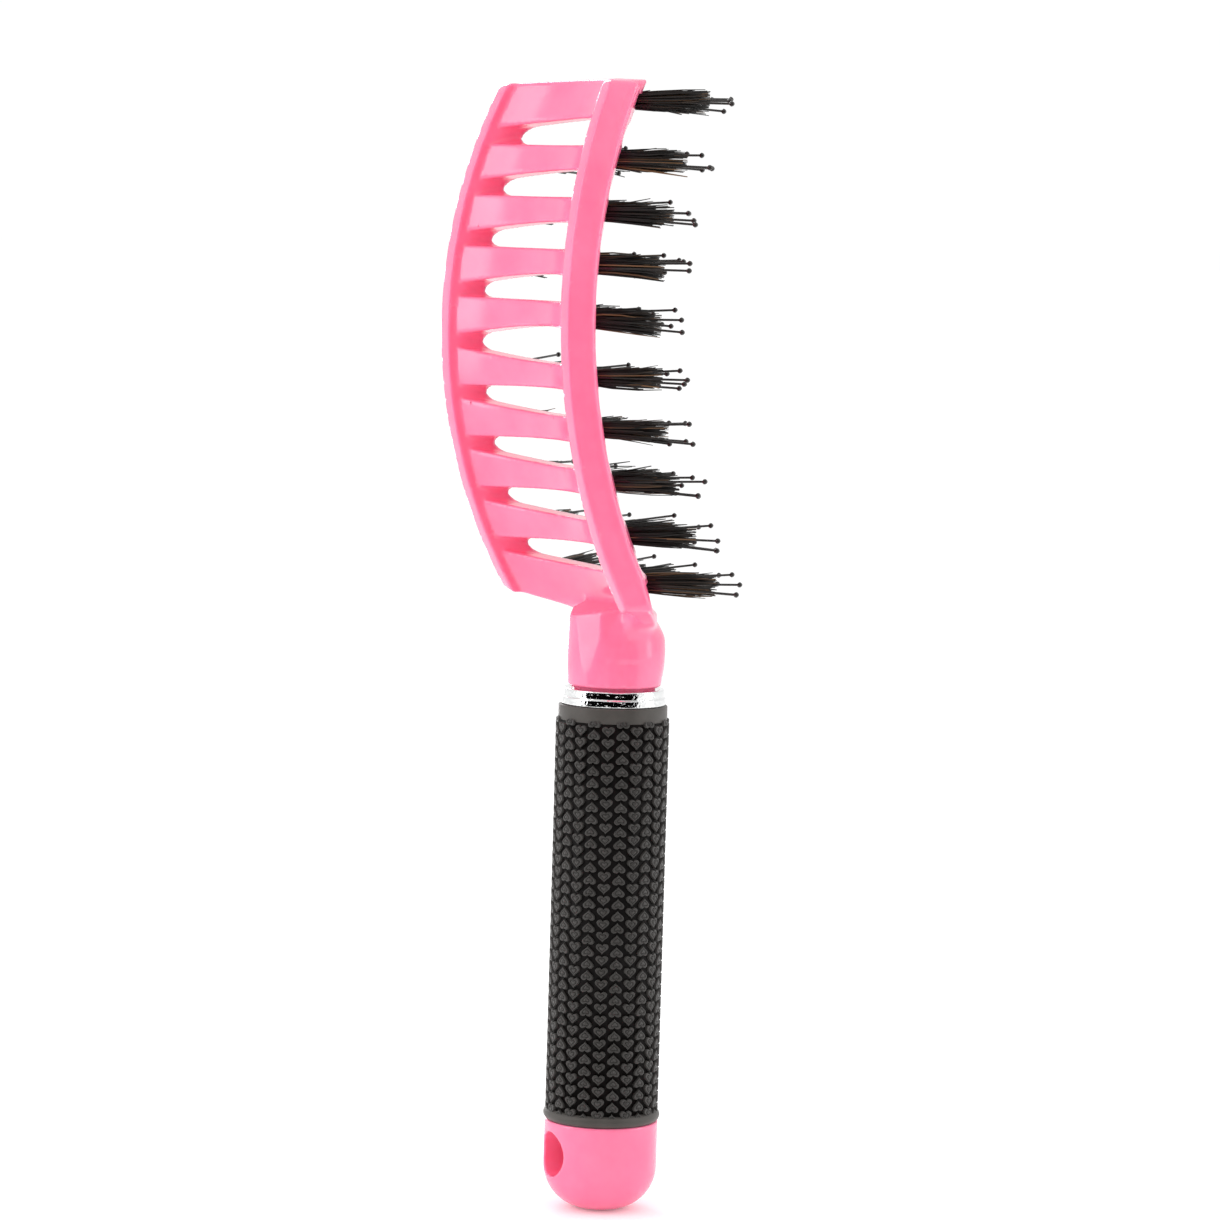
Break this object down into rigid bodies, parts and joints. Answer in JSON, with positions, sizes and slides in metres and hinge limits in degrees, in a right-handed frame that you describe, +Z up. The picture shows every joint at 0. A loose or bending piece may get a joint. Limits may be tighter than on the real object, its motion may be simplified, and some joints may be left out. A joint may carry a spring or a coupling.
{
  "type": "vent hair brush with boar and ball-tipped pin tufts",
  "caption": "Curved vent hair brush: glossy moulded frame, mixed boar and ball-tipped pin tufts, plated ring, rubber grip sleeve and end cap with hang hole.",
  "frame": {"origin": "on the handle's axis, at the centre of the hang hole through the end cap", "axes": "+Z up the handle towards the head, -Y the bristle side, X across the head's width"},
  "size_m": [0.0702, 0.0518, 0.2458],
  "materials": {
    "head_plastic": "gloss",
    "ring_chrome": "polished",
    "grip_rubber": "matte",
    "cap_plastic": "gloss",
    "boar_hair": "satin",
    "pin_nylon": "gloss",
    "anchor_wire": "satin"
  },
  "bodies": {
    "root": {"head_frame": "head_plastic", "chrome_ring": "ring_chrome", "grip_sleeve": "grip_rubber", "end_cap": "cap_plastic", "boar_tufts_row_01": "boar_hair", "boar_tufts_row_02": "boar_hair", "boar_tufts_row_03": "boar_hair", "boar_tufts_row_04": "boar_hair", "boar_tufts_row_05": "boar_hair", "boar_tufts_row_06": "boar_hair", "boar_tufts_row_07": "boar_hair", "boar_tufts_row_08": "boar_hair", "boar_tufts_row_09": "boar_hair", "boar_tufts_row_10": "boar_hair", "ball_pins_row_01": "pin_nylon", "ball_pins_row_02": "pin_nylon", "ball_pins_row_03": "pin_nylon", "ball_pins_row_04": "pin_nylon", "ball_pins_row_05": "pin_nylon", "ball_pins_row_06": "pin_nylon", "ball_pins_row_07": "pin_nylon", "ball_pins_row_08": "pin_nylon", "ball_pins_row_09": "pin_nylon", "ball_pins_row_10": "pin_nylon", "tuft_anchors_row_01": "anchor_wire", "tuft_anchors_row_02": "anchor_wire", "tuft_anchors_row_03": "anchor_wire", "tuft_anchors_row_04": "anchor_wire", "tuft_anchors_row_05": "anchor_wire", "tuft_anchors_row_06": "anchor_wire", "tuft_anchors_row_07": "anchor_wire", "tuft_anchors_row_08": "anchor_wire", "tuft_anchors_row_09": "anchor_wire", "tuft_anchors_row_10": "anchor_wire"}
  },
  "joints": []
}
